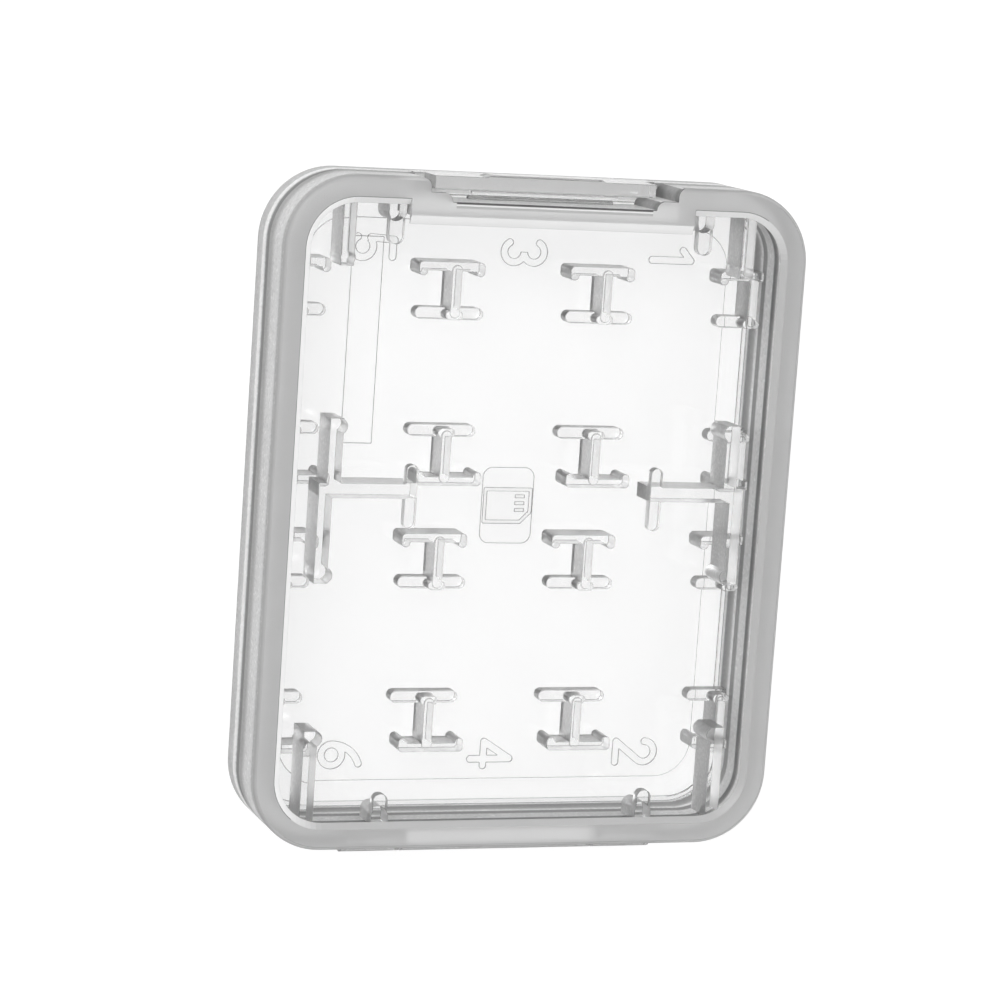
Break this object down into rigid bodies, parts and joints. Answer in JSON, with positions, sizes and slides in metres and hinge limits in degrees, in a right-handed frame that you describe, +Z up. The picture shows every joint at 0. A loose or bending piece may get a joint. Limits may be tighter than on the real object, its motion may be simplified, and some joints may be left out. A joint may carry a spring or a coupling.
{
  "type": "memory card case",
  "caption": "Flat clear plastic hinged case with frosted rims, H-shaped card posts in the base, T-shaped dividers in the lid and a latch tab at one end.",
  "frame": {"origin": "centre of the bounding box's bottom face, which is the plane that the closed case rests on", "axes": "+X across the case to the right as seen from the lid, +Y from the hinge to the latch, +Z up through the lid"},
  "size_m": [0.0426, 0.0536, 0.008],
  "materials": {
    "clear_window": "polished clear plastic",
    "clear_post": "polished clear plastic",
    "clear_fitting": "polished clear plastic",
    "frosted_rim": "finely frosted translucent plastic",
    "moulded_mark": "raised clear plastic"
  },
  "bodies": {
    "base": {"base_frame": "frosted_rim", "base_window": "clear_window", "latch_tab": "clear_fitting", "hinge_barrel": "clear_fitting", "card_post_r1c1": "clear_post", "card_post_r1c2": "clear_post", "card_post_r1c3": "clear_post", "card_post_r1c4": "clear_post", "card_post_r2c1": "clear_post", "card_post_r2c2": "clear_post", "card_post_r2c3": "clear_post", "card_post_r2c4": "clear_post", "card_post_r3c1": "clear_post", "card_post_r3c2": "clear_post", "card_post_r3c3": "clear_post", "card_post_r3c4": "clear_post", "card_post_r4c1": "clear_post", "card_post_r4c2": "clear_post", "card_post_r4c3": "clear_post", "card_post_r4c4": "clear_post", "numeral_1": "moulded_mark", "numeral_2": "moulded_mark", "numeral_3": "moulded_mark", "numeral_4": "moulded_mark", "numeral_5": "moulded_mark", "numeral_6": "moulded_mark", "label_plate": "moulded_mark", "card_pictogram": "moulded_mark"},
    "lid": {"lid_frame": "frosted_rim", "lid_window": "clear_window", "catch_ridge": "clear_fitting", "hinge_ear_left": "clear_fitting", "hinge_ear_right": "clear_fitting", "divider_left": "clear_post", "divider_right": "clear_post", "corner_post_top_left": "clear_post", "corner_post_top_right": "clear_post", "corner_post_bottom_left": "clear_post", "corner_post_bottom_right": "clear_post", "stop_peg_top_left": "clear_post", "stop_peg_top_right": "clear_post", "stop_peg_bottom_left": "clear_post", "stop_peg_bottom_right": "clear_post"}
  },
  "joints": [
    {"name": "lid_hinge", "type": "hinge", "parent": "base", "child": "lid", "pos_m": [0, -0.02577, 0.004], "axis": [1, 0, 0], "range_deg": [0, 180]}
  ]
}
